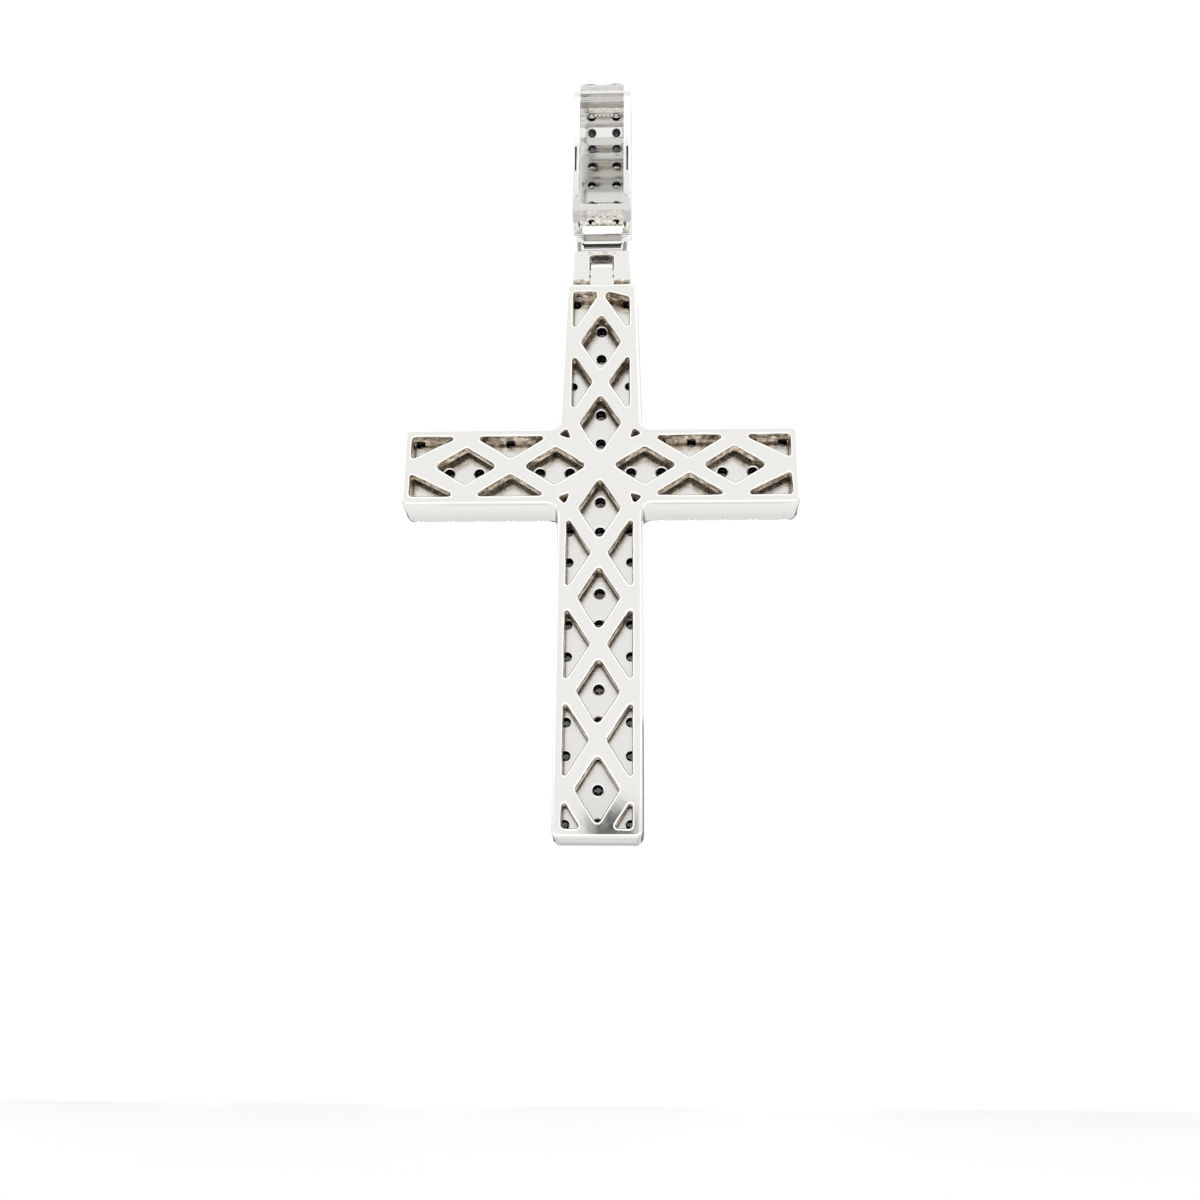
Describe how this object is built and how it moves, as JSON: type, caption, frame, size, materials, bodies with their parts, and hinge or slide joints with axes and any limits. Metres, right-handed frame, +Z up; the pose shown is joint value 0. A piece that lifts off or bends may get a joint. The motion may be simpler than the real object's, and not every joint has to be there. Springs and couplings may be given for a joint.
{
  "type": "diamond cross pendant",
  "caption": "Latin cross pendant with a pierced diamond-pattern back, a hollow stone-set front, and an oblong bail hung on a two-hinge link.",
  "frame": {"origin": "where a chain carries the bail: the top of the loop's inside, midway across it, with both hinge pins straight below", "axes": "+Z is up as the pendant hangs, +X is along the cross's arms, -Y is the stone-set front and +Y the pierced back"},
  "size_m": [0.0246, 0.0063, 0.0515],
  "materials": {
    "white_gold": "polished white gold",
    "diamond": "clear round-cut diamonds"
  },
  "bodies": {
    "bail": {"bail_loop": "white_gold", "bail_diamonds": "diamond"},
    "link": {"bail_link": "white_gold"},
    "cross": {"cross_body": "white_gold", "cross_diamonds": "diamond"}
  },
  "joints": [
    {"name": "link_swing", "type": "hinge", "parent": "bail", "child": "link", "pos_m": [0, 0, -0.0108], "axis": [1, 0, 0], "range_deg": [-60, 60]},
    {"name": "cross_swing", "type": "hinge", "parent": "link", "child": "cross", "pos_m": [0, 0, -0.0132], "axis": [1, 0, 0], "range_deg": [-60, 60]}
  ]
}
